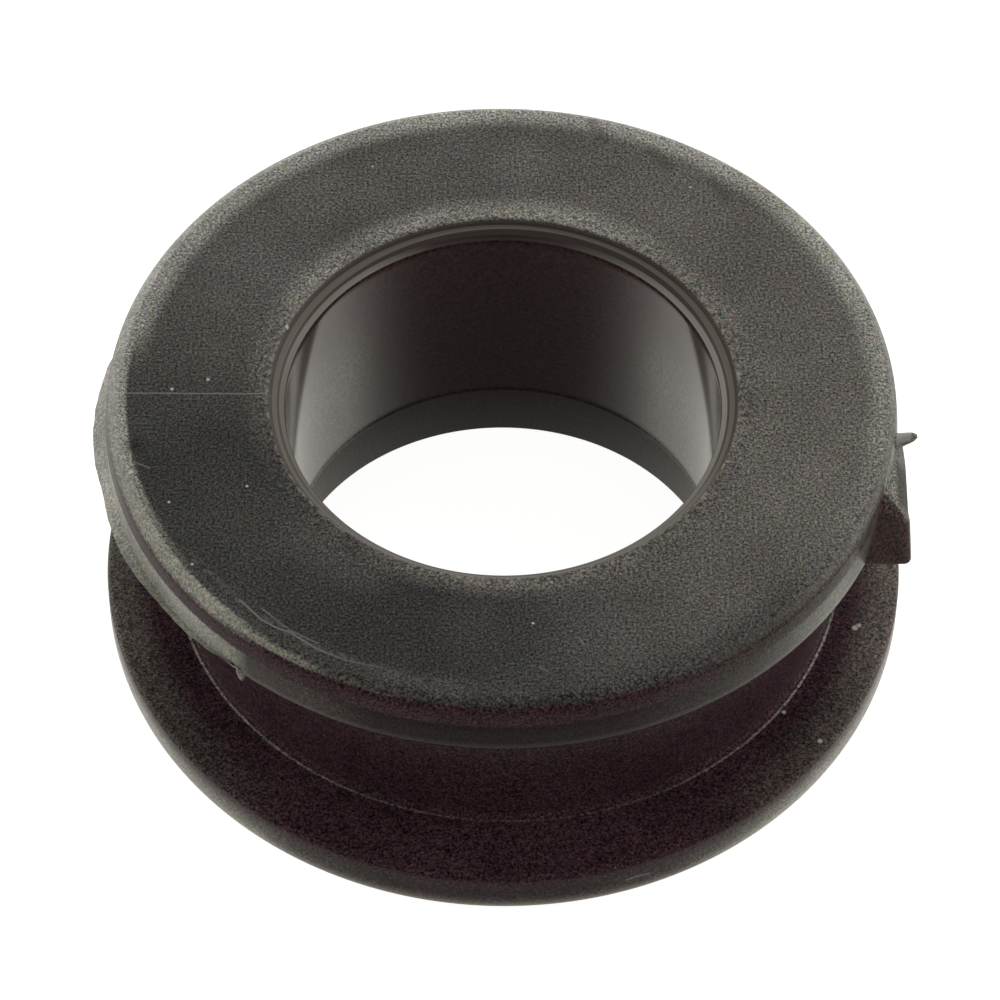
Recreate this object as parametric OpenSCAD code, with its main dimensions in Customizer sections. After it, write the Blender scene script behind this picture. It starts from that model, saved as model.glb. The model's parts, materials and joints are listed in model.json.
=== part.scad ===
// Gear lever bushing: a one-piece moulded rubber bush with two flanges.
// The lever's pin passes through the bore, and the groove between the flanges
// holds the edge of the plate that the bush is pushed into.
// The origin is the centre of the lower face, with +Z along the bore.

/* [Flanges] */
// Outer diameter of the lower flange
flange_d = 22; // [21.5:0.1:26]
// Thickness of the lower flange
flange_t = 2.1; // [1.8:0.1:3.5]
// Radius of the lower flange's bottom edge
flange_edge_r = 1.25; // [0.2:0.05:1.5]
// Outer diameter of the upper flange, the one that is pushed through the plate
collar_d = 21.3; // [20.6:0.1:25]
// Thickness of the upper flange
collar_t = 1.7; // [1.5:0.1:3]
// Radius of the upper flange's top edge
collar_edge_r = 0.45; // [0.1:0.05:0.6]
// Height of the straight band at the bottom of the upper flange's rim
collar_band_h = 0.85; // [0.4:0.05:0.85]
// How far the rim leans in between its straight band and its top edge
collar_draft = 0.1; // [0:0.02:0.2]

/* [Groove] */
// Diameter of the groove's floor, a light press in an 18 mm hole
neck_d = 18.1; // [16:0.1:19]
// Width of the groove between the two flanges
groove_w = 5.2; // [4.4:0.1:8]
// Radius of the fillet in each of the groove's two corners
groove_fillet_r = 0.2; // [0.05:0.05:0.5]

/* [Bore] */
// Diameter of the bore, undersize so that it grips a 12 mm pin
bore_d = 11.7; // [10:0.1:13]
// How much wider the bore's top mouth is on each side
mouth_w = 0.45; // [0.1:0.05:0.8]
// Depth of the chamfer at the bore's top mouth
mouth_h = 0.4; // [0.2:0.05:1]
// Width of the flat land at the chamfer's foot
land_w = 0.1; // [0.02:0.02:0.1]
// How much wider the bore's bottom mouth is on each side
lead_in_w = 0.3; // [0.1:0.05:0.8]
// Height of the tapered lead-in at the bore's bottom mouth
lead_in_h = 2; // [0.5:0.1:2.5]

/* [Mould marks] */
// Reach of the flash fin past the rim, at its widest point
fin_w = 0.4; // [0.2:0.05:0.8]
// Thickness of the flash fin
fin_t = 0.15; // [0.1:0.05:0.3]
// Height of the fin's underside above the groove's upper side
fin_rise = 0.05; // [0.02:0.01:0.2]
// Direction of the fin's widest point, in degrees around from +X
fin_angle = 187; // [150:1:210]
// Angle from the fin's widest point to where it runs out on each side
fin_half_angle = 44; // [30:1:60]
// Radius of the rubber bead that hangs where the fin runs out
bead_r = 0.18; // [0.1:0.02:0.3]
// Furthest that the moulding gate's stub stands past the rim
gate_reach = 0.15; // [0.05:0.05:0.5]
// Distance from the axis forward to the stub's torn front
gate_front = 4.45; // [3.5:0.05:5]
// Length of the stub from its torn front to where it runs out
gate_length = 3.5; // [2:0.1:4]
// Width of the stub's sloping shoulder
gate_shoulder = 0.6; // [0.3:0.05:0.8]
// Slope of the torn front, in degrees from the horizontal
gate_slope = 46; // [30:1:70]
// Depth from the top face down to the top of the stub
gate_drop = 0.4; // [0.3:0.05:0.6]

/* [Hidden] */
$fn = 96;
arc_steps = 8;

flange_r = flange_d / 2;
collar_r = collar_d / 2;
neck_r = neck_d / 2;
bore_r = bore_d / 2;

groove_top_z = flange_t + groove_w;
height = groove_top_z + collar_t;

// The fin and the stub are rooted inside the upper flange, halfway across its overhang
root_r = (neck_r + collar_r) / 2;

// The fin is a thin disc set off the axis, so that only a crescent of it clears the rim.
// The disc passes through the fin's tip and through the rim where the fin runs out.
fin_tip_r = collar_r + fin_w;
fin_shift = fin_w * (fin_tip_r + collar_r) / (2 * (fin_tip_r - collar_r * cos(fin_half_angle)));
fin_disc_r = fin_tip_r - fin_shift;

// Points along an arc in a half section, with its centre given by distance from the axis and height
function arc_points(centre_r, centre_z, r, from, to) = [
    for (i = [0 : arc_steps])
        let (a = from + (to - from) * i / arc_steps)
            [centre_r + r * cos(a), centre_z + r * sin(a)]
];

// Half section of the whole bush, from the lead-in's mouth outwards and back down the bore
module section() {
    lean_r = collar_r - collar_draft;
    fillet_r = neck_r + groove_fillet_r;
    polygon(concat(
        // Lower flange: its face, its rounded edge and the side of the groove
        [[bore_r + lead_in_w, 0]],
        arc_points(flange_r - flange_edge_r, flange_edge_r, flange_edge_r, -90, 0),
        [[flange_r, flange_t]],
        // Groove, with a fillet at each side of its floor
        arc_points(fillet_r, flange_t + groove_fillet_r, groove_fillet_r, 270, 180),
        arc_points(fillet_r, groove_top_z - groove_fillet_r, groove_fillet_r, 180, 90),
        // Upper flange: its straight band, its leaning rim, its rounded edge and its face
        [[collar_r, groove_top_z], [collar_r, groove_top_z + collar_band_h]],
        arc_points(lean_r - collar_edge_r, height - collar_edge_r, collar_edge_r, 0, 90),
        // Bore: its chamfered mouth and land, its straight wall and its lead-in
        [[bore_r + mouth_w, height], [bore_r + land_w, height - mouth_h]],
        [[bore_r, height - mouth_h], [bore_r, lead_in_h]]
    ));
}

// Thin crescent of flash along the upper flange's rim
module fin() {
    difference() {
        rotate(fin_angle)
            translate([fin_shift, 0, groove_top_z + fin_rise])
                cylinder(r = fin_disc_r, h = fin_t);
        cylinder(r = root_r, h = height);
    }
}

// Bead of rubber that hangs from the rim's lower edge where the fin runs out
module bead() {
    rotate(fin_angle + fin_half_angle)
        translate([collar_r - bead_r / 2, 0, groove_top_z])
            sphere(bead_r);
}

// What is left of the moulding gate: a stub on the rim, trimmed straight and torn at its front
module gate_stub() {
    reach = collar_r + gate_reach;
    top_z = height - gate_drop;
    difference() {
        translate([0, gate_length - gate_front, 0])
            rotate([90, 0, 0])
                linear_extrude(gate_length)
                    polygon([
                        [root_r, groove_top_z],
                        [reach, groove_top_z],
                        [reach, top_z - gate_shoulder],
                        [reach - gate_shoulder, top_z],
                        [root_r, top_z]
                    ]);
        // The tear, cut wider and longer than the stub so that no sliver is left
        translate([0, -gate_front, groove_top_z])
            rotate([gate_slope, 0, 0])
                cube([reach + gate_shoulder, gate_length / cos(gate_slope), collar_t]);
    }
}

module bushing() {
    color([0.16, 0.15, 0.15]) {
        rotate_extrude()
            section();
        fin();
        bead();
        gate_stub();
    }
}

bushing();
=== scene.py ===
# Gear lever bushing: the look of the moulded rubber bush, with its mould marks, on a pale studio floor.

import json
import math

import bmesh
import bpy
from mathutils import Matrix, Quaternion, Vector, noise


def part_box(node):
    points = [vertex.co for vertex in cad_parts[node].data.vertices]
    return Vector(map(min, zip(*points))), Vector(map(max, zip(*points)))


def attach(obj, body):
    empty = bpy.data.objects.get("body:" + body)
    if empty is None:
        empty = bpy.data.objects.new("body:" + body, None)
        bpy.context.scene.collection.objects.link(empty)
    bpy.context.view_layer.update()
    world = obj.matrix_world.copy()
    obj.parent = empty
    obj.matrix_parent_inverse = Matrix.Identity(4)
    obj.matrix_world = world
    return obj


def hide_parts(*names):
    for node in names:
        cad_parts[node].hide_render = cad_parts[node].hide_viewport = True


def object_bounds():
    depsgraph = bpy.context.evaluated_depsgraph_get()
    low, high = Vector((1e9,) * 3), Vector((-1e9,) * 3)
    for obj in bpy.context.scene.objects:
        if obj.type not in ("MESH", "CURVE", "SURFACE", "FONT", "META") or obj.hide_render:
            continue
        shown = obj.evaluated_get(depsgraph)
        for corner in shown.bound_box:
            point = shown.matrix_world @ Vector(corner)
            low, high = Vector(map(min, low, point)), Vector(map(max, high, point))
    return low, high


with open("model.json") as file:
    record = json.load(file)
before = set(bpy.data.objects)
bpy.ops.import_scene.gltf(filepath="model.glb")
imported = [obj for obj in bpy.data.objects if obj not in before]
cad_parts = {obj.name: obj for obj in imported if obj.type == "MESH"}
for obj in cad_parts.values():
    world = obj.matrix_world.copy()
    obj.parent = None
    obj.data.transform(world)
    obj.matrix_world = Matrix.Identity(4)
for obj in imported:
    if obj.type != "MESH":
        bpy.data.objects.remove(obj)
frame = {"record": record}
cad_low, cad_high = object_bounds()

MM = 0.001

# ---------------------------------------------------------------------------------------------------
# Bush body: a short tube of black rubber with a flange at each end, pressed hot in a two-part mould.
# The part line runs round the groove, and the two mould halves met a tenth of a millimetre off centre.
# ---------------------------------------------------------------------------------------------------

bore = next(m for m in frame["record"]["mounts"] if m["name"] == "bore")
BORE_R = bore["dims"]["r_mm"] * MM
BORE_LENGTH = bore["dims"]["length_mm"] * MM
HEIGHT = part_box("bushing")[1].z
FLANGE_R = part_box("bushing")[1].y

FLANGE_T = 2.1 * MM
FLANGE_EDGE_R = 1.25 * MM
COLLAR_R = 10.65 * MM
COLLAR_T = 1.7 * MM
COLLAR_DRAFT = 0.1 * MM
COLLAR_BAND_H = 0.85 * MM
COLLAR_EDGE_R = 0.4 * MM
NECK_R = 9.05 * MM
GROOVE_TOP = HEIGHT - COLLAR_T
LEAD_IN_W = 0.3 * MM
LEAD_IN_H = 2 * MM
MOUTH_W = 0.46 * MM
SHELF_OUT, SHELF_IN, SHELF_DROP = 0.32 * MM, 0.25 * MM, 0.2 * MM
LAND_W = 0.11 * MM
SLANT = 0.01 * MM
LIP_W = 0.55 * MM
LIP_RISE = 0.035 * MM
RING_POINTS = 240

# Where the core pin met the cone of the lead-in: a step, a crest of flash, and the bore's foot above it
STEP_W, STEP_RISE = 0.15 * MM, 0.04 * MM
CREST_REACH, CREST_RISE = 0.025 * MM, 0.08 * MM
BORE_FOOT_RISE = 0.2 * MM

# How far each mould half, and the core that makes the bore's mouth, sat from the true centre
FLANGE_SHIFT = (0, -0.12 * MM)
NECK_SHIFT = (0.1 * MM, 0)
COLLAR_SHIFT = (-0.08 * MM, 0)
MOUTH_SHIFT = (-0.03 * MM, -0.12 * MM)
LAND_SHIFT = (-0.04 * MM, -0.13 * MM)
CENTRED = (0, 0)

# Extra rings this close to a rounded edge keep the long faces beside it flat in their shading
HOLD = 0.25 * MM
LOW_HOLD = 0.1 * MM
FILLET_R = 0.2 * MM

# The section's corners, as rings of one radius and height round one of those centres
RINGS = {
    "lead-in top": (BORE_R + STEP_W, LEAD_IN_H + STEP_RISE, CENTRED),
    "bottom mouth": (BORE_R + LEAD_IN_W, 0, CENTRED),
    "bottom edge": (FLANGE_R, 0, FLANGE_SHIFT),
    "rim hold": (FLANGE_R, FLANGE_T - HOLD, FLANGE_SHIFT),
    "flange rim": (FLANGE_R, FLANGE_T, FLANGE_SHIFT),
    "ledge hold": (FLANGE_R - HOLD, FLANGE_T, FLANGE_SHIFT),
    "fillet hold": (NECK_R + FILLET_R + HOLD, FLANGE_T, NECK_SHIFT),
    "groove floor": (NECK_R, FLANGE_T, NECK_SHIFT),
    "neck low hold": (NECK_R, FLANGE_T + FILLET_R + HOLD, NECK_SHIFT),
    "neck high hold": (NECK_R, GROOVE_TOP - FILLET_R - HOLD, NECK_SHIFT),
    "groove roof": (NECK_R, GROOVE_TOP, NECK_SHIFT),
    "roof hold": (NECK_R + FILLET_R + HOLD, GROOVE_TOP, NECK_SHIFT),
    "roof edge hold": (COLLAR_R - HOLD, GROOVE_TOP, COLLAR_SHIFT),
    "collar foot": (COLLAR_R, GROOVE_TOP, COLLAR_SHIFT),
    "collar hold": (COLLAR_R, GROOVE_TOP + HOLD, COLLAR_SHIFT),
    "collar band": (COLLAR_R, GROOVE_TOP + COLLAR_BAND_H, COLLAR_SHIFT),
    "collar edge": (COLLAR_R - COLLAR_DRAFT, HEIGHT, COLLAR_SHIFT),
    "lip foot": (BORE_R + MOUTH_W + LIP_W, HEIGHT, MOUTH_SHIFT),
    "mouth": (BORE_R + MOUTH_W, HEIGHT + LIP_RISE, MOUTH_SHIFT),
    "shelf foot": (BORE_R + SHELF_OUT, HEIGHT - SHELF_DROP, MOUTH_SHIFT),
    "shelf edge": (BORE_R + SHELF_IN, HEIGHT - SHELF_DROP - SLANT, MOUTH_SHIFT),
    "land foot": (BORE_R + LAND_W, LEAD_IN_H + BORE_LENGTH + SLANT, LAND_SHIFT),
    "bore top": (BORE_R, LEAD_IN_H + BORE_LENGTH, LAND_SHIFT),
    "bore hold": (BORE_R, LEAD_IN_H + BORE_LENGTH - HOLD, LAND_SHIFT),
    "bore low hold": (BORE_R, LEAD_IN_H + BORE_FOOT_RISE + LOW_HOLD, CENTRED),
    "bore bottom": (BORE_R, LEAD_IN_H + BORE_FOOT_RISE, CENTRED),
    "flash crest": (BORE_R - CREST_REACH, LEAD_IN_H + CREST_RISE, CENTRED),
}

# The radius that each ring is rounded to, and the number of steps in that round
ROUNDS = {
    "bottom mouth": (0.08 * MM, 3),
    "bottom edge": (FLANGE_EDGE_R, 16),
    "flange rim": (0.16 * MM, 5),
    "groove floor": (FILLET_R, 5),
    "groove roof": (FILLET_R, 5),
    "collar foot": (0.03 * MM, 2),
    "collar band": (0.3 * MM, 6),
    "collar edge": (COLLAR_EDGE_R, 12),
    "lip foot": (0.3 * MM, 5),
    "mouth": (0.05 * MM, 4),
    "shelf foot": (0.02 * MM, 2),
    "shelf edge": (0.025 * MM, 3),
    "land foot": (0.02 * MM, 2),
    "bore top": (0.04 * MM, 3),
    "bore bottom": (0.03 * MM, 2),
    "flash crest": (0.015 * MM, 2),
}


def ring_edges(mesh, radius, height, centre):
    """Selects the edges that run round a piece at one radius and height, and nothing else."""
    near = 0.004 * MM
    for edge in mesh.edges:
        edge.select_set(
            all(
                abs(v.co.z - height) < near
                and abs(math.hypot(v.co.x - centre[0], v.co.y - centre[1]) - radius) < near
                for v in edge.verts
            )
        )


def finish_mesh():
    """Merges the doubled points of the closed piece in edit mode, and turns its faces outwards."""
    bpy.ops.mesh.select_all(action="SELECT")
    bpy.ops.mesh.remove_doubles(threshold=0.001 * MM)
    bpy.ops.mesh.normals_make_consistent(inside=False)
    bpy.ops.object.mode_set(mode="OBJECT")


bpy.ops.object.select_all(action="DESELECT")
turned = list(RINGS.values())
first_r, first_z, _ = turned[0]
bpy.ops.mesh.primitive_circle_add(vertices=RING_POINTS, radius=first_r, location=(0, 0, first_z))
body = bpy.context.object
body.name = "bushing_moulding"
bpy.ops.object.transform_apply(location=True)
bpy.ops.object.mode_set(mode="EDIT")
for (r0, z0, c0), (r1, z1, c1) in zip(turned, turned[1:] + turned[:1]):
    step = (c1[0] - c0[0], c1[1] - c0[1], z1 - z0)
    bpy.ops.mesh.extrude_region_move(TRANSFORM_OT_translate={"value": step})
    bpy.ops.transform.resize(value=(r1 / r0, r1 / r0, 1), center_override=(c1[0], c1[1], z1))
finish_mesh()

bpy.ops.object.mode_set(mode="EDIT")
bpy.ops.mesh.select_mode(type="EDGE")
for name, (round_r, steps) in ROUNDS.items():
    radius, height, centre = RINGS[name]
    ring_edges(bmesh.from_edit_mesh(body.data), radius, height, centre)
    bpy.ops.mesh.bevel(offset=round_r, segments=steps, profile=0.5, affect="EDGES", clamp_overlap=False)
finish_mesh()

# ---------------------------------------------------------------------------------------------------
# Flash fin: a skin of rubber that squeezed out where the mould halves meet, along the left of the
# upper flange. It runs thick and sloping at the left, thin and curled up at the front.
# ---------------------------------------------------------------------------------------------------

FIN_STEPS = 160
FIN_ROOT_R = 10.2 * MM
FIN_UNDER = 0.02 * MM
FIN_EDGE_T = 0.06 * MM
FIN_EDGE_SLANT = 0.03 * MM
FIN_INSET_UNDER, FIN_INSET_OVER = 0.05 * MM, 0.02 * MM
FIN_SLOPE_H = 0.45 * MM
FIN_CREASE_H = 0.07 * MM
FIN_CURL_H = 0.1 * MM
FIN_CURL_FROM, FIN_CURL_TO = 188, 214

# The edge is uneven by this much, and less where the fin is narrow. Its slope is lower where it isn't wide
FIN_RAGGEDNESS = 0.02 * MM
FIN_NARROW, FIN_WIDE = 0.1 * MM, 0.3 * MM

# Direction around from +X in degrees, and how far the fin reaches past the rim in millimetres
FIN_REACH = [
    (150, 0.02), (160, 0.14), (168, 0.28), (175, 0.35), (181, 0.37), (187, 0.33), (192, 0.25), (194, 0.25),
    (199, 0.31), (206, 0.31), (211, 0.25), (214, 0.2), (221, 0.19), (226, 0.12), (231, 0.02),
]


def along(table, place):
    """The value of a table of (place, value) rows at a place between two of its rows."""
    for (p0, v0), (p1, v1) in zip(table, table[1:]):
        if p0 <= place <= p1:
            return v0 + (v1 - v0) * (place - p0) / (p1 - p0)
    return table[0][1] if place < table[0][0] else table[-1][1]


def around(centre, radius, degrees, height):
    """A point at a distance and direction from an upright axis."""
    a = math.radians(degrees)
    return Vector((centre[0] + radius * math.cos(a), centre[1] + radius * math.sin(a), height))


def fin_section(degrees):
    """The fin's six corners at one place: its underside, its edge, and where it leaves the rim."""
    reach = along(FIN_REACH, degrees) * MM
    reach += FIN_RAGGEDNESS * noise.noise(Vector((degrees / 2, 0, 0))) * min(1, reach / FIN_NARROW)
    curl = min(1, max(0, (degrees - FIN_CURL_FROM) / (FIN_CURL_TO - FIN_CURL_FROM)))
    crease = max(FIN_CREASE_H, FIN_SLOPE_H * (1 - curl) * min(1, reach / FIN_WIDE))
    under = GROOVE_TOP + FIN_UNDER
    edge = under + curl * FIN_CURL_H
    corners = [
        (FIN_ROOT_R, under),
        (COLLAR_R - FIN_INSET_UNDER, under),
        (COLLAR_R + reach - FIN_EDGE_SLANT, edge),
        (COLLAR_R + reach, edge + FIN_EDGE_T),
        (COLLAR_R - FIN_INSET_OVER, under + crease),
        (FIN_ROOT_R, under + crease),
    ]
    return [around(COLLAR_SHIFT, radius, degrees, height) for radius, height in corners]


bpy.ops.object.select_all(action="DESELECT")
bpy.ops.mesh.primitive_circle_add(vertices=6, radius=FIN_WIDE, fill_type="NGON")
fin = bpy.context.object
fin_start, fin_end = FIN_REACH[0][0], FIN_REACH[-1][0]
for vertex, corner in zip(fin.data.vertices, fin_section(fin_start)):
    vertex.co = corner
bpy.ops.object.mode_set(mode="EDIT")
for step in range(FIN_STEPS):
    bpy.ops.mesh.extrude_region_move()
    places = fin_section(fin_start + (fin_end - fin_start) * (step + 1) / FIN_STEPS)
    mesh = bmesh.from_edit_mesh(fin.data)
    for vertex, corner in zip([v for v in mesh.verts if v.select], places):
        vertex.co = corner
bmesh.update_edit_mesh(fin.data)
finish_mesh()

# The bead of rubber that hangs where the fin runs out at the front: a drop that narrows downwards, and
# that is pressed nearly flat above the rim's lower edge
BEAD_R = 0.14 * MM
BEAD_INSET = 0.07 * MM
BEAD_PLACE = 230.6
BEAD_STRETCH = 3
BEAD_TOP = 0.2
BEAD_TAPER, BEAD_TAPER_H = 0.25, 0.5 * MM

bpy.ops.object.select_all(action="DESELECT")
bead_middle = around(COLLAR_SHIFT, COLLAR_R - BEAD_INSET, BEAD_PLACE, GROOVE_TOP)
bpy.ops.mesh.primitive_uv_sphere_add(segments=24, ring_count=16, radius=BEAD_R, location=bead_middle)
bead = bpy.context.object
bpy.ops.object.mode_set(mode="EDIT")
bpy.ops.transform.resize(value=(1, 1, BEAD_STRETCH), center_override=bead.location)
bpy.ops.object.mode_set(mode="OBJECT")
bpy.ops.object.transform_apply(location=True)
for vertex in bead.data.vertices:
    if vertex.co.z > GROOVE_TOP:
        vertex.co.z = GROOVE_TOP + (vertex.co.z - GROOVE_TOP) * BEAD_TOP
    width = 1 - BEAD_TAPER * max(0, (GROOVE_TOP - vertex.co.z) / BEAD_TAPER_H)
    vertex.co.xy = bead_middle.xy + (vertex.co.xy - bead_middle.xy) * width

# ---------------------------------------------------------------------------------------------------
# Gate stub: what is left of the runner that fed the rubber into the mould. It was trimmed along its
# side and torn off at its front, and the tear left a sloping raw face and a curled whisker behind.
# ---------------------------------------------------------------------------------------------------

STUB_ROOT_X = 9.5 * MM
STUB_SIDE_X = 10.72 * MM
STUB_FLARE, STUB_FLARE_END = 0.09 * MM, 0.3
STUB_PINCH, STUB_PINCH_START = 0.05 * MM, 0.8
STUB_FRONT_Y = -4.5 * MM
STUB_BACK_Y = -0.95 * MM
STUB_TOP_Z = HEIGHT - 0.4 * MM
STUB_SHOULDER = 0.6 * MM
STUB_CUTS = 12
TEAR_SLOPE = math.radians(46)
TEAR_NORMAL = Vector((0, -math.sin(TEAR_SLOPE), math.cos(TEAR_SLOPE)))
TEAR_EDGE_R = 0.2 * MM
TEAR_ROUGHNESS, TEAR_GRAIN = 0.06 * MM, 0.25 * MM

# A point this close to a plane lies on it, and a face whose normal has this part along an axis faces that way
NEAR = 0.01 * MM
FACING = 0.3

bpy.ops.object.select_all(action="DESELECT")
stub_low = Vector((STUB_ROOT_X, STUB_FRONT_Y, GROOVE_TOP))
stub_high = Vector((STUB_SIDE_X, STUB_BACK_Y, STUB_TOP_Z))
bpy.ops.mesh.primitive_cube_add(size=1, location=(stub_low + stub_high) / 2, scale=stub_high - stub_low)
stub = bpy.context.object
bpy.ops.object.transform_apply(location=True, scale=True)
bpy.ops.object.mode_set(mode="EDIT")
bpy.ops.mesh.select_mode(type="EDGE")
mesh = bmesh.from_edit_mesh(stub.data)
for edge in mesh.edges:
    edge.select_set(all(v.co.x > STUB_SIDE_X - NEAR and v.co.z > STUB_TOP_Z - NEAR for v in edge.verts))
bpy.ops.mesh.bevel(offset=STUB_SHOULDER, segments=2, profile=0.32, affect="EDGES")
bpy.ops.mesh.select_all(action="SELECT")
bpy.ops.mesh.bisect(plane_co=stub_low, plane_no=TEAR_NORMAL, clear_outer=True, use_fill=True)
mesh = bmesh.from_edit_mesh(stub.data)
mesh.normal_update()
for edge in mesh.edges:
    middle = (edge.verts[0].co + edge.verts[1].co) / 2
    edge.select_set(
        middle.x > STUB_SIDE_X - STUB_SHOULDER
        and any(f.normal.y < -FACING for f in edge.link_faces)
        and any(f.normal.x > FACING for f in edge.link_faces)
    )
bpy.ops.mesh.bevel(offset=TEAR_EDGE_R, segments=4, profile=0.5, affect="EDGES")
for cut in range(1, STUB_CUTS):
    place = stub_low.lerp(stub_high, cut / STUB_CUTS)
    for across in ((0, 1, 0), (1, 0, 0)):
        bpy.ops.mesh.select_all(action="SELECT")
        bpy.ops.mesh.bisect(plane_co=place, plane_no=across)
finish_mesh()
for vertex in stub.data.vertices:
    place = vertex.co.copy()
    if abs((place - stub_low).dot(TEAR_NORMAL)) < NEAR and place.z > GROOVE_TOP + NEAR:
        vertex.co += TEAR_NORMAL * (TEAR_ROUGHNESS * noise.noise(place / TEAR_GRAIN))
    outwards = (place.x - STUB_ROOT_X) / (STUB_SIDE_X - STUB_ROOT_X)
    backwards = (place.y - STUB_FRONT_Y) / (STUB_BACK_Y - STUB_FRONT_Y)
    flare = STUB_FLARE * max(0, 1 - backwards / STUB_FLARE_END) ** 0.5
    pinch = STUB_PINCH * max(0, backwards - STUB_PINCH_START) / (1 - STUB_PINCH_START)
    vertex.co.x += (flare - pinch) * max(0, outwards)

# The whisker is a flat thorn that narrows quickly from a wide root, with a blunt tip
WHISKER_ROOT = Vector((10.1, -1.36, 8.48)) * MM
WHISKER_TIP = Vector((11.01, -1.2, 8.64)) * MM
WHISKER_ROOT_R, WHISKER_TIP_R = 0.5 * MM, 0.15 * MM
WHISKER_FLATNESS = 0.5
WHISKER_WAIST = 0.25
WHISKER_BLUNTNESS, WHISKER_BLUNT_FROM = 0.8, 0.8

bpy.ops.object.select_all(action="DESELECT")
whisker_run = WHISKER_TIP - WHISKER_ROOT
whisker_length = whisker_run.length
bpy.ops.mesh.primitive_cone_add(vertices=24, radius1=WHISKER_ROOT_R, radius2=WHISKER_TIP_R, depth=whisker_length)
whisker = bpy.context.object
bpy.ops.object.mode_set(mode="EDIT")
bpy.ops.mesh.subdivide(number_cuts=11)
bpy.ops.object.mode_set(mode="OBJECT")
for vertex in whisker.data.vertices:
    out_along = vertex.co.z / whisker_length + 0.5
    past = max(0, out_along - WHISKER_BLUNT_FROM) / (1 - WHISKER_BLUNT_FROM)
    blunt = math.sqrt(1 - WHISKER_BLUNTNESS * past**2)
    vertex.co.x *= WHISKER_FLATNESS * blunt
    vertex.co.y *= (1 - WHISKER_WAIST * math.sin(math.pi * out_along)) * blunt
whisker.data.transform(whisker_run.to_track_quat("Z", "Y").to_matrix().to_4x4())
whisker.data.transform(Matrix.Translation((WHISKER_TIP + WHISKER_ROOT) / 2))

# All of it is one moulding, so the marks are joined to the body
for part in (fin, bead, stub, whisker):
    bpy.ops.object.select_all(action="DESELECT")
    body.select_set(True)
    bpy.context.view_layer.objects.active = body
    union = body.modifiers.new("union", "BOOLEAN")
    union.operation = "UNION"
    union.solver = "MANIFOLD"
    union.object = part
    bpy.ops.object.modifier_apply(modifier=union.name)
    bpy.data.objects.remove(part)
bpy.ops.object.mode_set(mode="EDIT")
finish_mesh()
bpy.ops.object.shade_smooth_by_angle(angle=math.radians(35))

# ---------------------------------------------------------------------------------------------------
# Black nitrile rubber: carbon-filled, transfer moulded and left as it came from the mould. Blasted
# steel gave the outside a matt, fine grain. Its colour carries painted light and shade: pale painted
# highlights and reflections on its rims and part line, and tones that change around it with the light.
# ---------------------------------------------------------------------------------------------------


def linear(code):
    """An sRGB hex colour as linear red, green, blue and alpha."""
    parts = [int(code[i : i + 2], 16) / 255 for i in (1, 3, 5)]
    return [p / 12.92 if p <= 0.04045 else ((p + 0.055) / 1.055) ** 2.4 for p in parts] + [1]


def add_node(tree, kind, settings=None, **inputs):
    """Adds a node, sets its properties, and sets or links its inputs by name, or by number as i0, i1."""
    node = tree.nodes.new(kind)
    for key, value in (settings or {}).items():
        setattr(node, key, value)
    for key, value in inputs.items():
        by_number = key[0] == "i" and key[1:].isdigit()
        socket = node.inputs[int(key[1:]) if by_number else key.replace("_", " ")]
        if isinstance(value, bpy.types.NodeSocket):
            tree.links.new(value, socket)
        else:
            socket.default_value = value
    return node


def start_material(name):
    """A new material with a Principled shader, and where a point of it lies on the bush in millimetres."""
    material = bpy.data.materials.new(name)
    material.use_nodes = True
    tree = material.node_tree
    tree.nodes.clear()
    output = add_node(tree, "ShaderNodeOutputMaterial")
    shader = add_node(tree, "ShaderNodeBsdfPrincipled")
    tree.links.new(shader.outputs["BSDF"], output.inputs["Surface"])
    place = add_node(tree, "ShaderNodeTexCoord").outputs["Object"]
    place = add_node(tree, "ShaderNodeVectorMath", {"operation": "SCALE"}, i0=place, Scale=1 / MM).outputs[0]
    return material, tree, shader, place


def cylindrical(tree, place):
    """A place in plan, its distance from the axis, its direction (degrees from -Y towards +X), and its height."""
    axes = add_node(tree, "ShaderNodeSeparateXYZ", Vector=place)
    flat = add_node(tree, "ShaderNodeVectorMath", {"operation": "MULTIPLY"}, i0=place, i1=(1, 1, 0)).outputs[0]
    out = add_node(tree, "ShaderNodeVectorMath", {"operation": "LENGTH"}, i0=flat).outputs["Value"]
    forwards = add_node(tree, "ShaderNodeMath", {"operation": "MULTIPLY"}, i0=axes.outputs["Y"], i1=-1).outputs[0]
    turn = add_node(tree, "ShaderNodeMath", {"operation": "ARCTAN2"}, i0=axes.outputs["X"], i1=forwards).outputs[0]
    turn = add_node(tree, "ShaderNodeMath", {"operation": "DEGREES"}, i0=turn).outputs[0]
    return flat, out, turn, axes.outputs["Z"]


def where_all(tree, *masks):
    """Where every one of several masks holds."""
    overlap = masks[0]
    for mask in masks[1:]:
        overlap = add_node(tree, "ShaderNodeMath", {"operation": "MULTIPLY"}, i0=overlap, i1=mask).outputs[0]
    return overlap


def where_any(tree, *masks):
    """Where at least one of several masks holds."""
    reach = masks[0]
    for mask in masks[1:]:
        reach = add_node(tree, "ShaderNodeMath", {"operation": "MAXIMUM"}, i0=reach, i1=mask).outputs[0]
    return reach


def between(tree, value, low, high, soft):
    """1 where a value lies between two limits, fading to 0 over a soft edge outside each. None is no limit."""
    smooth = {"interpolation_type": "SMOOTHSTEP"}
    sides = []
    if low is not None:
        sides.append(add_node(tree, "ShaderNodeMapRange", smooth, Value=value, From_Min=low - soft, From_Max=low))
    if high is not None:
        sides.append(add_node(tree, "ShaderNodeMapRange", smooth, Value=value, From_Min=high + soft, From_Max=high))
    return where_all(tree, *[side.outputs[0] for side in sides])


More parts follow.
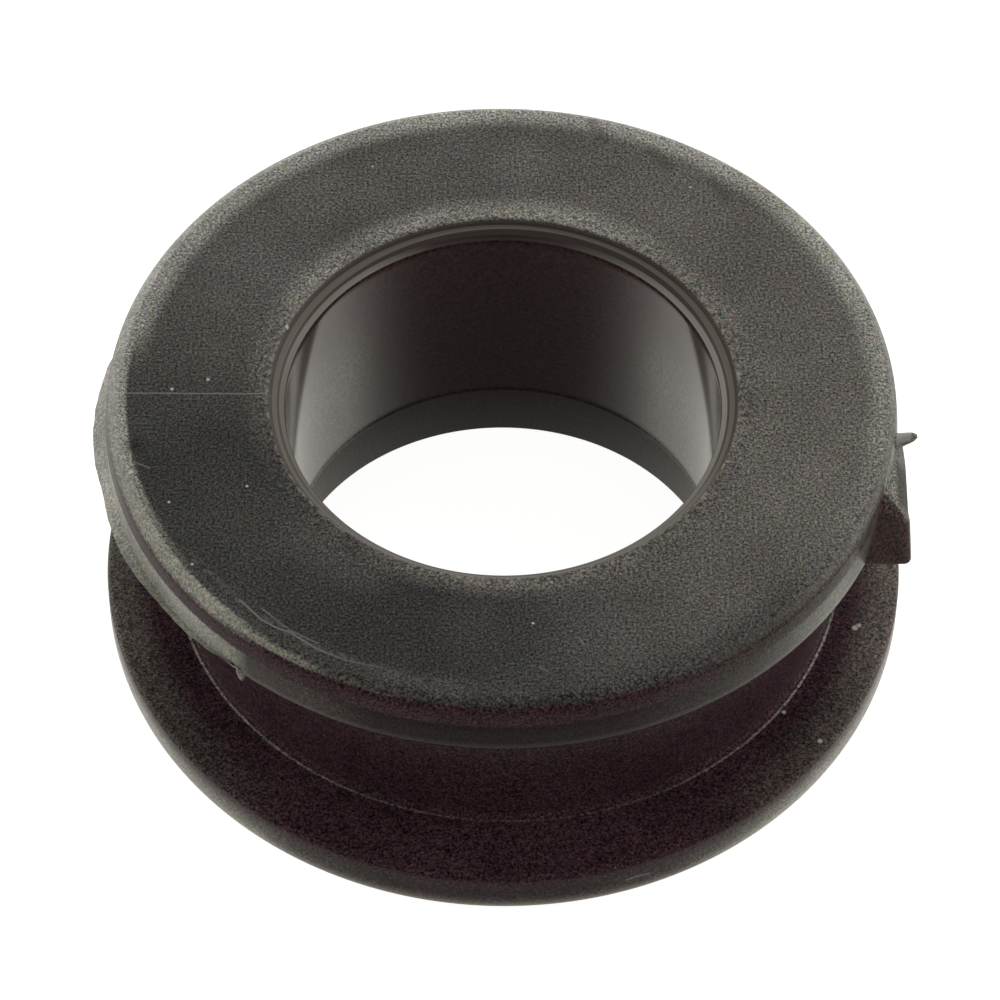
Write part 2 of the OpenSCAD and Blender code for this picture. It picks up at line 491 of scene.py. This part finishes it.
def changing(tree, value, stops):
    """A colour that changes smoothly with a value, through stops of (value, sRGB hex)."""
    low, high = stops[0][0], stops[-1][0]
    part = add_node(tree, "ShaderNodeMapRange", Value=value, From_Min=low, From_Max=high).outputs[0]
    ramp = add_node(tree, "ShaderNodeValToRGB", Fac=part)
    elements = ramp.color_ramp.elements
    elements[0].color, elements[1].color = linear(stops[0][1]), linear(stops[-1][1])
    for at, code in stops[1:-1]:
        elements.new((at - low) / (high - low)).color = linear(code)
    return ramp.outputs["Color"]


def laid_on(tree, under, over, *masks):
    """A colour with another, sRGB hex or a socket, over it where all of some masks hold. A number thins it."""
    over = linear(over) if isinstance(over, str) else over
    where = where_all(tree, *masks)
    return add_node(tree, "ShaderNodeMix", {"data_type": "RGBA"}, i0=where, i6=under, i7=over).outputs[2]


def near_path(tree, place, points, width):
    """1 along a path through some points, fading to 0 at its width in millimetres."""
    runs = []
    for start, end in zip(points, points[1:]):
        start, run = Vector(start), Vector(end) - Vector(start)
        off = add_node(tree, "ShaderNodeVectorMath", {"operation": "SUBTRACT"}, i0=place, i1=start).outputs[0]
        part = add_node(
            tree, "ShaderNodeVectorMath", {"operation": "DOT_PRODUCT"}, i0=off, i1=run / run.length_squared
        ).outputs["Value"]
        part = add_node(tree, "ShaderNodeClamp", Value=part).outputs[0]
        nearest = add_node(tree, "ShaderNodeVectorMath", {"operation": "SCALE"}, i0=run, Scale=part).outputs[0]
        away = add_node(tree, "ShaderNodeVectorMath", {"operation": "DISTANCE"}, i0=off, i1=nearest).outputs["Value"]
        near = add_node(tree, "ShaderNodeMapRange", Value=away, From_Min=width, From_Max=width * 0.3)
        runs.append(near.outputs[0])
    return where_any(tree, *runs)


# Tones around the bush, in degrees from the front, with light and shade painted into them: each side is
# lighter or darker as light falls on it. The body's own tone shows wherever no other does, with a redder
# tint painted on its shaded front. The face's tones are painted shading and reflection, the edge is a
# painted highlight along the outer border of the face, and the halo a painted reflection round the mouth
BODY_SHADE_TONES = [
    (-180, "#2e2a2a"), (-115, "#2e2a2a"), (-95, "#3a2a30"), (95, "#3a2a30"), (115, "#2e2a2a"), (180, "#2e2a2a"),
]
FACE_SHADING_TONES = [
    (-180, "#535250"), (-150, "#4e4d4b"), (-120, "#525150"), (-105, "#494846"), (-90, "#403f3e"), (-75, "#363535"),
    (-55, "#3b3a39"), (-30, "#363435"), (-12, "#333132"), (0, "#383738"), (15, "#474545"), (30, "#53514f"),
    (60, "#5d5b58"), (90, "#5a5855"), (120, "#565452"), (150, "#575552"), (180, "#535250"),
]
EDGE_HIGHLIGHT_TONES = [
    (-180, "#8c8c88"), (-120, "#888884"), (-95, "#848480"), (-80, "#868681"), (-70, "#767672"), (-50, "#42403f"),
    (0, "#3f3e3e"), (40, "#484746"), (60, "#5d5d5a"), (80, "#6f6f6b"), (90, "#797974"), (130, "#8b8b86"),
    (180, "#8c8c88"),
]
HALO_REFLECTION_TONES = [
    (-180, "#7a7974"), (-140, "#747370"), (-100, "#5a5855"), (-70, "#42403f"), (-35, "#42403f"), (-15, "#62605c"),
    (10, "#62605c"), (35, "#5d5b58"), (90, "#585653"), (130, "#62605c"), (160, "#74736f"), (180, "#7a7974"),
]

# The upper rim from its top down: the round, the wall below it, and the band along the part line. All
# three carry painted highlights at the sides and back, and painted shade at the front
ROUND_HIGHLIGHT_TONES = [
    (-180, "#a6a6a2"), (-110, "#a6a6a2"), (-90, "#959590"), (-80, "#8e8e88"), (-50, "#909088"), (-40, "#888880"),
    (-31, "#7a7a73"), (-25, "#4c4a48"), (-10, "#3a3536"), (12, "#403c3c"), (30, "#4a4746"), (50, "#5d5b58"),
    (60, "#64625f"), (80, "#6c6b67"), (90, "#787873"), (110, "#8b8b86"), (130, "#989893"), (180, "#a6a6a2"),
]
WALL_SHADING_TONES = [
    (-180, "#565452"), (-125, "#565452"), (-100, "#3a2a30"), (20, "#3a2a30"), (45, "#403936"), (62, "#46423f"),
    (80, "#5a5855"), (180, "#565452"),
]
BAND_HIGHLIGHT_AND_SHADE_TONES = [
    (-180, "#585654"), (-120, "#585654"), (-98, "#a0a09a"), (-80, "#a8a8a2"), (-60, "#9a9a94"), (-50, "#a6a6a0"),
    (-41, "#90908a"), (-39.5, "#70706a"), (-38.5, "#3a3533"), (-28, "#403a38"), (-18, "#1e1114"), (18, "#1e1114"),
    (30, "#342e2c"), (38, "#403d3b"), (50, "#6a6a65"), (57, "#7c7c77"), (62, "#545450"), (90, "#646460"),
    (180, "#585654"),
]

# The lower flange: the outer part of its upper side, and its rim. Both carry painted reflections, which
# are brightest on the rim at the two sides, and painted shade at the front
LOWER_TOP_SHADING_TONES = [
    (-180, "#64605c"), (-75, "#5c5754"), (-50, "#46403f"), (-30, "#3a2a30"), (30, "#3a2a30"), (50, "#4a4341"),
    (75, "#605956"), (180, "#605956"),
]
LOWER_RIM_REFLECTION_TONES = [
    (-180, "#6c6a66"), (-120, "#6c6a66"), (-92, "#a8a8a2"), (-60, "#b0b0aa"), (-50, "#a8a8a2"), (-40, "#868680"),
    (-30, "#545250"), (-15, "#30282a"), (10, "#30282a"), (25, "#4a4644"), (32, "#62605e"), (40, "#84847e"),
    (50, "#9c9c96"), (75, "#b0b0aa"), (92, "#a8a8a2"), (120, "#6c6a66"), (180, "#6c6a66"),
]

# The fillet at the groove's foot, the bore's lead-in, and the chamfer and the crest of the bore's mouth,
# with painted highlights and reflections where light falls on them and painted shade where it does not
FILLET_HIGHLIGHT_TONES = [
    (-180, "#8a8680"), (-60, "#8a8680"), (-40, "#6e6864"), (-10, "#4a4040"), (15, "#4a4040"), (45, "#6e6864"),
    (60, "#8a8680"), (180, "#8a8680"),
]
LEAD_IN_REFLECTION_TONES = [
    (-180, "#2e2223"), (-150, "#2e2223"), (-125, "#463e3b"), (-95, "#6e6762"), (95, "#6e6762"), (125, "#463e3b"),
    (150, "#2e2223"), (180, "#2e2223"),
]
CHAMFER_SHADING_TONES = [
    (-180, "#423a3b"), (-150, "#463e3f"), (-120, "#4a4442"), (-90, "#54504d"), (-60, "#5a5653"), (-30, "#7c7875"),
    (40, "#7c7875"), (70, "#4e4a47"), (90, "#48443f"), (130, "#423b3b"), (160, "#423a3b"), (180, "#423a3b"),
]
CREST_HIGHLIGHT_TONES = [
    (-180, "#2e2627"), (-160, "#3a3433"), (-140, "#7a7874"), (-110, "#7c7a76"), (-90, "#6e6c68"), (-60, "#6a6864"),
    (0, "#5a5856"), (60, "#7a7874"), (90, "#8a8884"), (130, "#82807c"), (150, "#5a5854"), (165, "#3a3433"),
    (180, "#2e2627"),
]

# Tones up the stub's side, by height in millimetres: painted shading, lighter towards the top
STUB_SHADING_TONES = [(7.3, "#5a5a55"), (7.9, "#605f5b"), (8.2, "#6c6b66"), (8.8, "#74736e")]

# Nitrile's own IOR is 1.52. The blasted skin scatters its gloss, so it shines as if it had a lower one
moulded, tree, shader, place = start_material("moulded_nitrile_rubber")
shader.inputs["IOR"].default_value = 1.25
shader.inputs["Specular Tint"].default_value = linear("#595959")
flat, out, turn, up = cylindrical(tree, place)
off_front = add_node(tree, "ShaderNodeMath", {"operation": "ABSOLUTE"}, i0=turn).outputs[0]

# The blasted grain is about 0.03 mm, and its coarsest part is drawn at 0.07 mm so that it shows. It is a
# little coloured, and it makes the colour lighter and darker. Clouds are some 2.5 mm
GRAIN_CONTRAST, GRAIN_DARKEST = 3.5, -0.77
grain = add_node(tree, "ShaderNodeTexNoise", Vector=place, Scale=14, Detail=2, Roughness=0.85)
tint = add_node(
    tree, "ShaderNodeMix", {"data_type": "RGBA"}, i0=0.2, i6=grain.outputs["Fac"], i7=grain.outputs["Color"]
).outputs[2]
spread = {"i1": (GRAIN_CONTRAST,) * 3, "i2": (GRAIN_DARKEST,) * 3}
mottle = add_node(tree, "ShaderNodeVectorMath", {"operation": "MULTIPLY_ADD"}, i0=tint, **spread).outputs[0]
mottle = add_node(tree, "ShaderNodeVectorMath", {"operation": "MULTIPLY"}, i0=mottle, i1=mottle).outputs[0]
haze = add_node(tree, "ShaderNodeTexNoise", Vector=place, Scale=0.4, Detail=4, Roughness=0.6).outputs["Fac"]
cloud = add_node(
    tree, "ShaderNodeMapRange", {"clamp": False}, Value=haze, From_Min=0.3, From_Max=0.7, To_Min=0.8, To_Max=1.18
).outputs[0]

# The limits from here on are heights and distances from the axis in millimetres, or degrees from the front.
# The face is at a height of 9, the groove is from 2.1 to 7.3, and the rims are at 10.65 and 11 from the axis
# The face: painted shading, a painted reflection round the mouth and a painted highlight along its outer border
face = where_all(tree, between(tree, up, 8.94, None, 0.03), between(tree, out, None, 10.5, 0.08))
halo = between(tree, out, 6.2, 6.45, 0.75)
face_tone = laid_on(tree, changing(tree, turn, FACE_SHADING_TONES), changing(tree, turn, HALO_REFLECTION_TONES), halo)
at_left = between(tree, turn, -92, -40, 14)
wide_edge = between(tree, out, 10.12, None, 0.6)
thin_edge = between(tree, out, 10.2, None, 0.14)
edge_highlight = add_node(tree, "ShaderNodeMix", {"data_type": "FLOAT"}, i0=at_left, i2=wide_edge, i3=thin_edge).outputs[0]
face_tone = laid_on(tree, face_tone, changing(tree, turn, EDGE_HIGHLIGHT_TONES), edge_highlight)
colour = laid_on(tree, changing(tree, turn, BODY_SHADE_TONES), face_tone, face)

# The upper rim: a painted highlight on its round, over less of its height at the front, and painted
# highlights and shade on its wall and its band
at_front = between(tree, turn, -34, 20, 12)
tall_crown = between(tree, up, 8.84, 8.96, 0.22)
low_crown = between(tree, up, 8.86, 8.91, 0.07)
crown = add_node(tree, "ShaderNodeMix", {"data_type": "FLOAT"}, i0=at_front, i2=tall_crown, i3=low_crown).outputs[0]
rim_round = where_all(tree, crown, between(tree, out, 10.36, None, 0.12))
colour = laid_on(tree, colour, changing(tree, turn, ROUND_HIGHLIGHT_TONES), rim_round)
wall = where_all(tree, between(tree, up, 8.2, 8.62, 0.1), between(tree, out, 10.3, None, 0.06))
colour = laid_on(tree, colour, changing(tree, turn, WALL_SHADING_TONES), wall)
band = where_all(tree, between(tree, up, 7.32, 8.16, 0.1), between(tree, out, 10.35, None, 0.1))
colour = laid_on(tree, colour, changing(tree, turn, BAND_HIGHLIGHT_AND_SHADE_TONES), band)

# The lower flange: painted reflections and shade on the outer part of its upper side and on its rim, and
# a painted reflection of the table low on its rounded foot, paler at the sides
lower_top = where_all(tree, between(tree, up, 1.9, 2.2, 0.05), between(tree, out, 10.6, None, 0.9))
colour = laid_on(tree, colour, changing(tree, turn, LOWER_TOP_SHADING_TONES), lower_top)
lower_rim = where_all(tree, between(tree, up, None, 1.2, 0.75), between(tree, out, 10.5, None, 0.3))
colour = laid_on(tree, colour, changing(tree, turn, LOWER_RIM_REFLECTION_TONES), lower_rim)
colour = laid_on(tree, colour, "#a09282", lower_rim, between(tree, up, None, 0.3, 1.1), 0.6)
foot_reflection = where_all(tree, between(tree, up, None, 0.9, 0.5), between(tree, off_front, 42, 100, 18))
colour = laid_on(tree, colour, "#c0beb6", lower_rim, foot_reflection, 0.65)

# Painted reflections and shade on the bore's lead-in, a painted highlight on the line where the groove's
# floor meets the lower flange, and a painted highlight on the bead under the rim
lead_in = where_all(tree, between(tree, up, 0.1, 2.1, 0.05), between(tree, out, None, 6.3, 0.05))
colour = laid_on(tree, colour, changing(tree, turn, LEAD_IN_REFLECTION_TONES), lead_in)
neck_middle = (NECK_SHIFT[0] / MM, NECK_SHIFT[1] / MM, 0)
neck_out = add_node(tree, "ShaderNodeVectorMath", {"operation": "DISTANCE"}, i0=flat, i1=neck_middle).outputs["Value"]
fillet = where_all(tree, between(tree, up, 2, 2.18, 0.03), between(tree, neck_out, 9.21, 9.25, 0.025))
colour = laid_on(tree, colour, changing(tree, turn, FILLET_HIGHLIGHT_TONES), fillet)
bead_highlight = where_all(tree, between(tree, up, 6.5, 7.3, 0.05), between(tree, out, 10.35, None, 0.05))
colour = laid_on(tree, colour, "#8e8e88", bead_highlight, between(tree, turn, -42, -37, 0.5))

# The stub's side carries painted shading, apart from its raw torn face, and a darker strip of painted shade.
# The tear's plane lies 8.3 along its normal from the middle of the bush's foot, and the skin is nearer
tear_depth = add_node(
    tree, "ShaderNodeVectorMath", {"operation": "DOT_PRODUCT"}, i0=place, i1=TEAR_NORMAL
).outputs["Value"]
stub_side = where_all(tree, between(tree, out, 10.3, None, 0.06), between(tree, up, 7.32, 8.75, 0.06))
raw = where_all(tree, stub_side, between(tree, tear_depth, 8.22, 8.6, 0.05), between(tree, turn, 65, 76, 0.5))
colour = laid_on(tree, colour, "#4c403e", raw)
stub_skin = where_all(tree, stub_side, between(tree, tear_depth, None, 8.2, 0.06), between(tree, turn, 64, 88, 2))
colour = laid_on(tree, colour, changing(tree, up, STUB_SHADING_TONES), stub_skin)
shade_strip = where_all(tree, between(tree, turn, 73.5, 79, 1.5), between(tree, up, 7.9, 8.3, 0.12))
colour = laid_on(tree, colour, "#403f3a", stub_skin, shade_strip)

# The grain goes over those tones, fainter on the painted highlights of the rims. A little of it is added
# as fine dust, which shows on the darkest rubber too
highlit_rims = where_all(tree, where_any(tree, rim_round, band, lower_rim), between(tree, off_front, 36, None, 10))
calm = laid_on(tree, mottle, "#ffffff", highlit_rims, 0.45)
DUSTING = 0.035
spread = {"i1": (DUSTING,) * 3, "i2": (-DUSTING / 2,) * 3}
dusting = add_node(tree, "ShaderNodeVectorMath", {"operation": "MULTIPLY_ADD"}, i0=tint, **spread).outputs[0]
colour = add_node(
    tree, "ShaderNodeVectorMath", {"operation": "MULTIPLY_ADD"}, i0=colour, i1=calm, i2=dusting
).outputs[0]
colour = add_node(tree, "ShaderNodeVectorMath", {"operation": "SCALE"}, i0=colour, Scale=cloud).outputs[0]

# A painted highlight on the whisker's upper side, laid over the grain
whisker_highlight = where_all(tree, between(tree, out, 10.56, 10.9, 0.05), between(tree, turn, 80, 87, 1))
colour = laid_on(tree, colour, "#a6a6a2", whisker_highlight, between(tree, up, 8.66, None, 0.08), 0.75)

# The bore's mouth: painted highlights and shade on its stepped chamfer and on the crest at the chamfer's
# foot, a painted highlight on its shelf, and a painted highlight on its crumbling lip at the sides
chamfer = where_all(tree, between(tree, up, 8.4, 8.97, 0.03), between(tree, out, None, 6.34, 0.02))
colour = laid_on(tree, colour, changing(tree, turn, CHAMFER_SHADING_TONES), chamfer, 0.85)
crest = where_all(tree, between(tree, up, 8.5, 8.66, 0.02), between(tree, out, None, 6.04, 0.02))
colour = laid_on(tree, colour, changing(tree, turn, CREST_HIGHLIGHT_TONES), crest, 0.9)
shelf = where_all(tree, between(tree, up, 8.75, 8.84, 0.02), between(tree, out, 6.0, 6.24, 0.02))
colour = laid_on(tree, colour, "#757069", shelf, 0.55)
mouth_middle = (MOUTH_SHIFT[0] / MM, MOUTH_SHIFT[1] / MM, 0)
mouth_out = add_node(
    tree, "ShaderNodeVectorMath", {"operation": "DISTANCE"}, i0=flat, i1=mouth_middle
).outputs["Value"]
crumbs = add_node(tree, "ShaderNodeTexNoise", Vector=place, Scale=6, Detail=1).outputs["Fac"]
crumbs = add_node(tree, "ShaderNodeMapRange", Value=crumbs, From_Min=0.45, From_Max=0.65).outputs[0]
lip = where_all(tree, between(tree, mouth_out, 6.3, 6.35, 0.03), between(tree, up, 8.9, None, 0.1))
colour = laid_on(tree, colour, "#96928c", crumbs, lip, between(tree, off_front, 45, 135, 12), 0.45)

# Marks on the face: the line where the two flows of rubber met, the wavy lines that the mould's vent left
# near the front edge, and handling scratches. There is a short scar on the lower flange's rim too
on_top = between(tree, up, 8.9, None, 0.03)
KNIT_LINE = [(-10.15, -0.2, 0), (-6.25, -0.2, 0), (-5.94, -0.02, 0)]
colour = laid_on(tree, colour, "#7c7a80", near_path(tree, flat, KNIT_LINE, 0.035), on_top, 0.6)

# Distance from the axis, and degrees around from +X, of each place along the two vent lines
VENT_LINE = [
    (9.9, -133.5), (10.0, -128.5), (9.97, -126), (9.88, -123.7), (9.97, -118.9), (9.96, -114), (9.84, -105.5),
    (10.04, -91.8),
]
SHORT_VENT_LINE = [(9.72, -130), (9.83, -124), (9.8, -119)]
vent, short_vent = (
    near_path(tree, flat, [around(CENTRED, radius, degrees, 0) for radius, degrees in line], 0.035)
    for line in (VENT_LINE, SHORT_VENT_LINE)
)
vent_fade = add_node(tree, "ShaderNodeMapRange", Value=turn, From_Min=-32, From_Max=-14, To_Min=0.55, To_Max=0)
colour = laid_on(tree, colour, "#8a8a84", vent, on_top, vent_fade.outputs[0])
rubbed = where_all(tree, between(tree, out, 9.86, 9.96, 0.1), between(tree, turn, -52, -12, 8))
colour = laid_on(tree, colour, "#5c5b59", rubbed, on_top, crumbs, 0.6)
colour = laid_on(tree, colour, "#8a8a84", short_vent, on_top, 0.3)

SCRATCHES = [
    ((-9.76, -2.59, 0), (-9.35, -2.79, 0)), ((0.95, -9.3, 0), (1.15, -9.42, 0)), ((1.95, -8.35, 0), (2.08, -8.55, 0)),
    ((4.75, -7.1, 0), (4.95, -6.95, 0)), ((5.2, -6.8, 0), (5.35, -6.95, 0)),
]
for scratch in SCRATCHES:
    colour = laid_on(tree, colour, "#7e7c7c", near_path(tree, flat, scratch, 0.04), on_top, 0.4)
SCAR = [(3.35, -10.6, 1.38), (3.6, -10.52, 1.42), (3.95, -10.4, 1.38)]
colour = laid_on(tree, colour, "#9a958c", near_path(tree, place, SCAR, 0.06), 0.5)

# Soft lighter and darker patches on the face, as place, radius, tone and strength, and the short dark streaks
# at its back
PATCHES = [
    (-5.15, -5.1, 1.1, "#545250", 0.5), (-4.3, -5.8, 1.1, "#545250", 0.5), (-3.5, -6.3, 0.9, "#545250", 0.4),
    (-9.79, -2.0, 0.42, "#242223", 0.9), (3.2, -8.3, 1.2, "#5a5856", 0.35), (-0.8, -7.9, 1.4, "#4a4848", 0.3),
    (6.2, 5.6, 1.8, "#4e4c4a", 0.3), (-5.5, 7.2, 1.6, "#646260", 0.3), (0.5, 8.4, 1.3, "#62605e", 0.3),
]
for x, y, radius, tone, strength in PATCHES:
    away = add_node(tree, "ShaderNodeVectorMath", {"operation": "DISTANCE"}, i0=flat, i1=(x, y, 0)).outputs["Value"]
    near = add_node(tree, "ShaderNodeMapRange", Value=away, From_Min=radius, From_Max=0, To_Max=strength).outputs[0]
    grainy = add_node(
        tree, "ShaderNodeVectorMath", {"operation": "MULTIPLY"}, i0=linear(tone)[:3], i1=mottle
    ).outputs[0]
    colour = laid_on(tree, colour, grainy, near, on_top)
STREAKS = [((2.4, 9.8, 0), (2.75, 9.2, 0)), ((4.0, 8.8, 0), (4.5, 8.1, 0)), ((5.7, 7.6, 0), (6.1, 7.0, 0))]
for streak in STREAKS:
    colour = laid_on(tree, colour, "#343233", near_path(tree, flat, streak, 0.25), on_top, 0.4)

# Place and radius of each speck of dust, in millimetres, on the face and then on the lower flange
SPECKS = [
    (-8.9, -0.05, 9, 0.07), (-7.95, 0.3, 9, 0.07), (-9.85, -2.92, 9, 0.1), (-6.77, -3.38, 9, 0.06),
    (-5.89, 2.17, 9, 0.1), (6.11, 0.02, 8.95, 0.09), (0.77, -7.87, 9, 0.06), (-8.1, -6.01, 9, 0.06),
    (-8.8, -3.94, 9, 0.06), (-9.79, 2.2, 9, 0.06), (5.1, 7.4, 9, 0.05), (-3.7, 8.1, 9, 0.05),
    (9.68, -2.64, 2.1, 0.13), (9.8, -2.55, 2.1, 0.1), (3.57, -10.38, 1.2, 0.09), (3.03, -10.69, 2.06, 0.06),
    (7.64, -5.54, 2.1, 0.09), (8.59, -6.50, 2.1, 0.11), (4.34, -10.29, 2.1, 0.07), (-1.35, -8.94, 2.1, 0.05),
]
dust = []
for *spot, size in SPECKS:
    away = add_node(tree, "ShaderNodeVectorMath", {"operation": "DISTANCE"}, i0=place, i1=spot).outputs["Value"]
    near = add_node(tree, "ShaderNodeMapRange", Value=away, From_Min=size * 0.85, From_Max=size * 0.3)
    dust.append(near.outputs[0])
colour = laid_on(tree, colour, "#c4c0b4", where_any(tree, *dust), 0.85)
tree.links.new(colour, shader.inputs["Base Color"])

rough = add_node(tree, "ShaderNodeMapRange", Value=face, To_Min=0.3, To_Max=0.48).outputs[0]
tree.links.new(rough, shader.inputs["Roughness"])
relief = add_node(tree, "ShaderNodeBump", Strength=0.3, Distance=0.01 * MM, Height=grain.outputs["Fac"])
tree.links.new(relief.outputs[0], shader.inputs["Normal"])

# The same rubber in the bore came off a polished core pin, so it is smooth, with a fine mottle (0.1 mm) and
# a pale painted reflection low at its sides. It is matt where it is looked at squarely and mirrors the table at
# a low angle, as fine-ground rubber does: a coat of a higher IOR than nitrile's, over a base of a lower one, gives
# both
polished, tree, shader, place = start_material("polished_nitrile_rubber")
shader.inputs["IOR"].default_value = 1.3
shader.inputs["Roughness"].default_value = 0.12
shader.inputs["Specular Tint"].default_value = linear("#303030")
shader.inputs["Coat IOR"].default_value = 1.7
shader.inputs["Coat Roughness"].default_value = 0.1
_, _, turn, up = cylindrical(tree, place)
off_front = add_node(tree, "ShaderNodeMath", {"operation": "ABSOLUTE"}, i0=turn).outputs[0]
# A pale painted reflection of the table, low on the bore's left and right sides
side_reflection = where_all(tree, between(tree, off_front, 50, 130, 14), between(tree, up, None, 4.6, 3))
colour = laid_on(tree, linear("#3a2629"), "#78766f", side_reflection)
mottle = add_node(tree, "ShaderNodeTexNoise", Vector=place, Scale=9, Detail=2, Roughness=0.7).outputs["Fac"]
mottle = add_node(
    tree, "ShaderNodeMapRange", {"clamp": False}, Value=mottle, From_Min=0.3, From_Max=0.7, To_Min=0.3, To_Max=1.7
).outputs[0]
colour = add_node(tree, "ShaderNodeVectorMath", {"operation": "SCALE"}, i0=colour, Scale=mottle).outputs[0]
tree.links.new(colour, shader.inputs["Base Color"])

# The sheen comes in as the view gets lower, weakens at a glance, and is weak at the bore's foot too
facing = add_node(tree, "ShaderNodeLayerWeight", Blend=0.5).outputs["Facing"]
smooth = {"interpolation_type": "SMOOTHSTEP"}
sheen = add_node(tree, "ShaderNodeMapRange", smooth, Value=facing, From_Min=0.38, From_Max=0.58, To_Max=0.95)
glance = add_node(tree, "ShaderNodeMapRange", Value=facing, From_Min=0.79, From_Max=0.87, To_Min=1, To_Max=0.15)
bore_foot = add_node(tree, "ShaderNodeMapRange", Value=up, From_Min=2.15, From_Max=2.4, To_Min=0.3, To_Max=1)
coat = where_all(tree, *[node.outputs[0] for node in (sheen, glance, bore_foot)])
tree.links.new(coat, shader.inputs["Coat Weight"])

# Joining the marks can leave empty material slots behind, so both materials are put in afresh
POLISHED_R = BORE_R + SHELF_IN
POLISHED_LOW, POLISHED_HIGH = LEAD_IN_H + 0.05 * MM, LEAD_IN_H + BORE_LENGTH
body.data.materials.clear()
body.data.materials.append(moulded)
body.data.materials.append(polished)
for polygon in body.data.polygons:
    x, y, z = polygon.center
    polygon.material_index = int(math.hypot(x, y) < POLISHED_R and POLISHED_LOW < z < POLISHED_HIGH)

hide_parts("bushing")
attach(body, "root")

# ---------------------------------------------------------------------------------------------------
# Studio: a plain white table top, a large soft light behind and above, and two weaker ones beside it.
# ---------------------------------------------------------------------------------------------------

TABLE_SIZE = 0.8
TABLE_GLOW = "#cecbc4"
TABLE_BRIGHTNESS = 0.93
ROOM_TINT = "#fffcf0"
ROOM_BRIGHTNESS = 0.5


def as_background(tree, tint):
    """Where the camera, gloss or glass sees a surface, and the colour it shows: white to the camera, or tinted."""
    rays = add_node(tree, "ShaderNodeLightPath")
    camera_ray, *others = [rays.outputs[f"Is {kind} Ray"] for kind in ("Camera", "Glossy", "Transmission")]
    return where_any(tree, camera_ray, *others), laid_on(tree, linear(tint), "#ffffff", camera_ray)


bpy.ops.object.select_all(action="DESELECT")
bpy.ops.mesh.primitive_plane_add(size=TABLE_SIZE, location=(0, 0, cad_low.z))
floor = bpy.context.object
floor.name = "table_top"
bpy.ops.object.transform_apply(location=True)

table = bpy.data.materials.new("white_laminate_table_top")
table.use_nodes = True
tree = table.node_tree
tree.nodes.clear()
output = add_node(tree, "ShaderNodeOutputMaterial")
seen, seen_colour = as_background(tree, TABLE_GLOW)
lift = add_node(tree, "ShaderNodeMath", {"operation": "MULTIPLY"}, i0=seen, i1=TABLE_BRIGHTNESS).outputs[0]
glow = add_node(tree, "ShaderNodeEmission", Color=seen_colour, Strength=lift)
matt = add_node(tree, "ShaderNodeBsdfDiffuse", Color=linear("#b0b0ae"))
both = add_node(tree, "ShaderNodeAddShader", i0=matt.outputs[0], i1=glow.outputs[0])
tree.links.new(both.outputs[0], output.inputs["Surface"])
floor.data.materials.append(table)

world = bpy.data.worlds.new("white_room")
bpy.context.scene.world = world
world.use_nodes = True
tree = world.node_tree
tree.nodes.clear()
output = add_node(tree, "ShaderNodeOutputWorld")
seen, seen_colour = as_background(tree, ROOM_TINT)
level = add_node(tree, "ShaderNodeMapRange", Value=seen, To_Min=ROOM_BRIGHTNESS, To_Max=1).outputs[0]
room = add_node(tree, "ShaderNodeBackground", Color=seen_colour, Strength=level)
tree.links.new(room.outputs[0], output.inputs["Surface"])

bush_middle = Vector((0, 0, HEIGHT / 2))


def softbox(name, azimuth, elevation, distance, size, radiance):
    """A soft light aimed at the bush. Azimuth counts anticlockwise from +X, in degrees."""
    a, e = math.radians(azimuth), math.radians(elevation)
    aim = Vector((math.cos(e) * math.cos(a), math.cos(e) * math.sin(a), math.sin(e)))
    light = bpy.data.lights.new(name, "AREA")
    light.shape = "RECTANGLE"
    light.size, light.size_y = size
    light.energy = radiance * math.pi * size[0] * size[1]
    lamp = bpy.data.objects.new(name, light)
    bpy.context.scene.collection.objects.link(lamp)
    lamp.location = bush_middle + aim * distance
    lamp.rotation_euler = aim.to_track_quat("Z", "Y").to_euler()


softbox("back_softbox", azimuth=68, elevation=50, distance=0.17, size=(0.14, 0.12), radiance=1.6)
softbox("left_softbox", azimuth=168, elevation=20, distance=0.2, size=(0.16, 0.1), radiance=2.2)
softbox("right_softbox", azimuth=12, elevation=20, distance=0.2, size=(0.16, 0.1), radiance=2.6)

# ---------------------------------------------------------------------------------------------------
# Camera: a long lens close to the bush, looking down at it from the front.
# ---------------------------------------------------------------------------------------------------

CAMERA_ELEVATION = math.radians(50.99)
CAMERA_ROLL = 0.007
CAMERA_DISTANCE = 139.19 * MM
CAMERA_TARGET = Vector((-0.103 * MM, 0, 4.319 * MM))

towards_camera = Vector((0, -math.cos(CAMERA_ELEVATION), math.sin(CAMERA_ELEVATION)))
lens = bpy.data.cameras.new("product_camera")
lens.lens = 182.35
lens.sensor_width = 36
lens.clip_start = 0.01
camera = bpy.data.objects.new("product_camera", lens)
bpy.context.scene.collection.objects.link(camera)
camera.location = CAMERA_TARGET + towards_camera * CAMERA_DISTANCE
camera_turn = towards_camera.to_track_quat("Z", "Y") @ Quaternion((0, 0, 1), CAMERA_ROLL)
camera.rotation_euler = camera_turn.to_euler()
bpy.context.scene.camera = camera

bpy.context.scene.view_settings.view_transform = "Standard"
